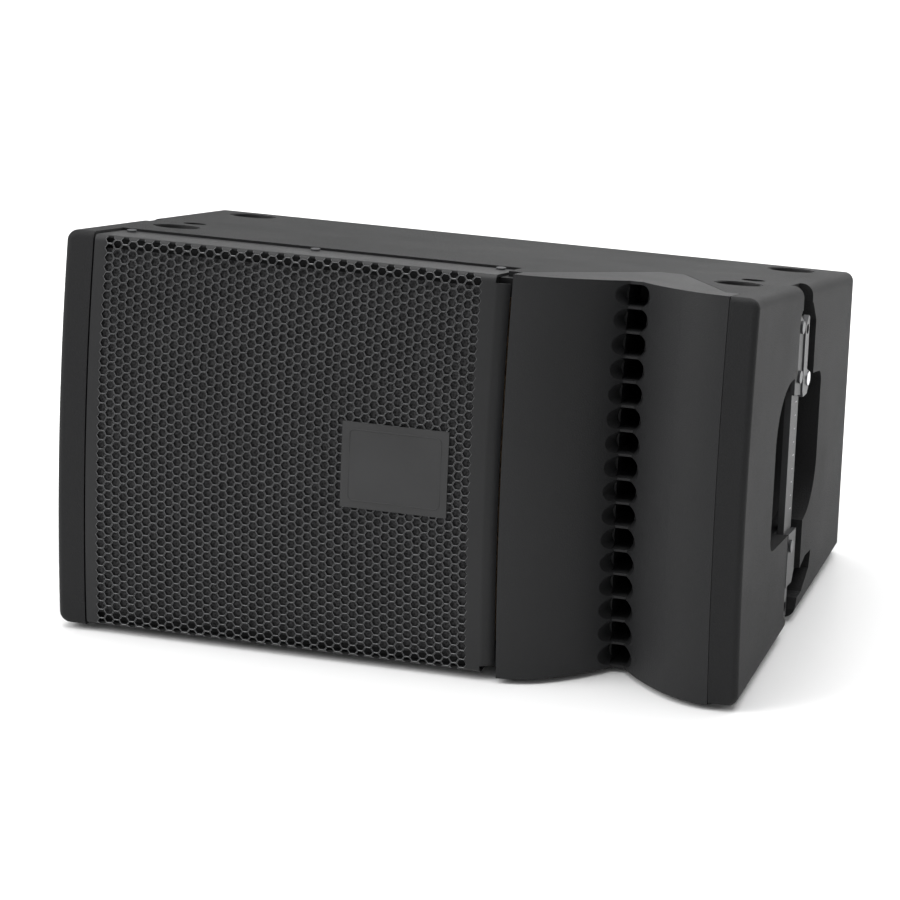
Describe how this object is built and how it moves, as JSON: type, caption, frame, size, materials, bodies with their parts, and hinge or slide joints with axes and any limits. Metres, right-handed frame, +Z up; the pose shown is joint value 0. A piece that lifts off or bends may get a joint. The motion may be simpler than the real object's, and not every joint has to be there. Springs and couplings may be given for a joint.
{
  "type": "line array speaker",
  "caption": "Compact wedge-shaped line array element: perforated grille over a woofer, a tall cellular horn beside it, and side rigging with hand pockets.",
  "frame": {"origin": "centre of the bounding box in plan, on the plane the feet stand on", "axes": "+Z up, -Y towards the grille and horn, +X towards the horn's side; the box stands on its lower tapered face"},
  "size_m": [0.435, 0.2932, 0.251],
  "materials": {
    "cabinet_paint": "fine textured matt coating on plywood",
    "inner_board": "raw plywood",
    "damping": "matted fibre",
    "rubber": "matt",
    "cup_plastic": "matt",
    "black_screws": "black oxide",
    "grille_metal": "satin powder coat",
    "foam": "open-cell foam",
    "badge": "satin, plain",
    "horn_plastic": "fine texture",
    "gasket": "matt",
    "magnet": "plated, dark",
    "hf_plastic": "matt",
    "hf_dome": "thin foil, satin",
    "clamp_steel": "zinc plated",
    "basket_paint": "semi-gloss",
    "cone_paper": "coated paper pulp",
    "spider_cloth": "impregnated cloth",
    "coil": "enamelled copper wire",
    "board": "lacquered laminate",
    "capacitor": "wrapped film",
    "plate_paint": "satin",
    "socket_plastic": "fine texture",
    "cable_jacket": "matt",
    "rigging_steel": "matt powder coat",
    "link_steel": "matt powder coat, worn edges",
    "pin_steel": "turned",
    "handle_plastic": "matt"
  },
  "bodies": {
    "cabinet": {"left_side_panel": "cabinet_paint", "right_side_panel": "cabinet_paint", "top_panel": "cabinet_paint", "bottom_panel": "cabinet_paint", "rear_panel": "cabinet_paint", "front_baffle": "inner_board", "centre_brace": "inner_board", "damping_pads": "damping", "rubber_feet": "rubber", "woofer_surround": "rubber", "stacking_cups": "cup_plastic", "panel_anchor_screws": "black_screws", "grille_screws": "black_screws", "rigging_screws": "black_screws", "woofer_screws": "black_screws", "connector_screws": "black_screws", "grille": "grille_metal", "grille_foam": "foam", "badge_plate": "badge", "horn_moulding": "horn_plastic", "hf_gasket": "gasket", "woofer_gasket": "gasket", "hf_front_plate": "magnet", "hf_magnet_housing": "magnet", "woofer_top_plate": "magnet", "woofer_magnet": "magnet", "woofer_back_plate": "magnet", "hf_phase_plug": "hf_plastic", "hf_rear_cap": "hf_plastic", "hf_clamps": "clamp_steel", "crossover_standoffs": "clamp_steel", "woofer_basket": "basket_paint", "woofer_spider": "spider_cloth", "crossover_inductors": "coil", "crossover_board": "board", "crossover_capacitors": "capacitor", "connector_plate": "plate_paint", "speaker_sockets": "socket_plastic", "input_cable": "cable_jacket", "woofer_cable": "cable_jacket", "hf_cable": "cable_jacket", "left_rigging_bar": "rigging_steel", "right_rigging_bar": "rigging_steel", "left_upper_plate": "rigging_steel", "right_upper_plate": "rigging_steel", "left_lower_bracket": "rigging_steel", "right_lower_bracket": "rigging_steel", "left_handle_cup": "handle_plastic", "right_handle_cup": "handle_plastic"},
    "left_link": {"left_sliding_link": "link_steel"},
    "left_pin": {"left_link_pin": "pin_steel"},
    "right_link": {"right_sliding_link": "link_steel"},
    "right_pin": {"right_link_pin": "pin_steel"},
    "woofer_motion": {"woofer_cone": "cone_paper", "woofer_dust_cap": "cone_paper", "woofer_voice_coil": "coil"},
    "hf_motion": {"hf_diaphragm": "hf_dome"}
  },
  "joints": [
    {"name": "left_link_slide", "type": "slide", "parent": "cabinet", "child": "left_link", "axis": [0, 0.1271, 0.9919], "range_m": [0, 0.0375]},
    {"name": "left_pin_pull", "type": "slide", "parent": "left_link", "child": "left_pin", "axis": [-1, 0, 0], "range_m": [0, 0.008], "stiffness_N_per_m": 200},
    {"name": "right_link_slide", "type": "slide", "parent": "cabinet", "child": "right_link", "axis": [0, 0.1271, 0.9919], "range_m": [0, 0.0375]},
    {"name": "right_pin_pull", "type": "slide", "parent": "right_link", "child": "right_pin", "axis": [1, 0, 0], "range_m": [0, 0.008], "stiffness_N_per_m": 200},
    {"name": "woofer_excursion", "type": "slide", "parent": "cabinet", "child": "woofer_motion", "axis": [0, -0.9919, 0.1271], "range_m": [-0.005, 0.005], "stiffness_N_per_m": 2500, "deforming": ["woofer_surround", "woofer_spider"]},
    {"name": "hf_excursion", "type": "slide", "parent": "cabinet", "child": "hf_motion", "axis": [0, -0.9919, 0.1271], "range_m": [-0.0003, 0.0003], "stiffness_N_per_m": 2500}
  ]
}
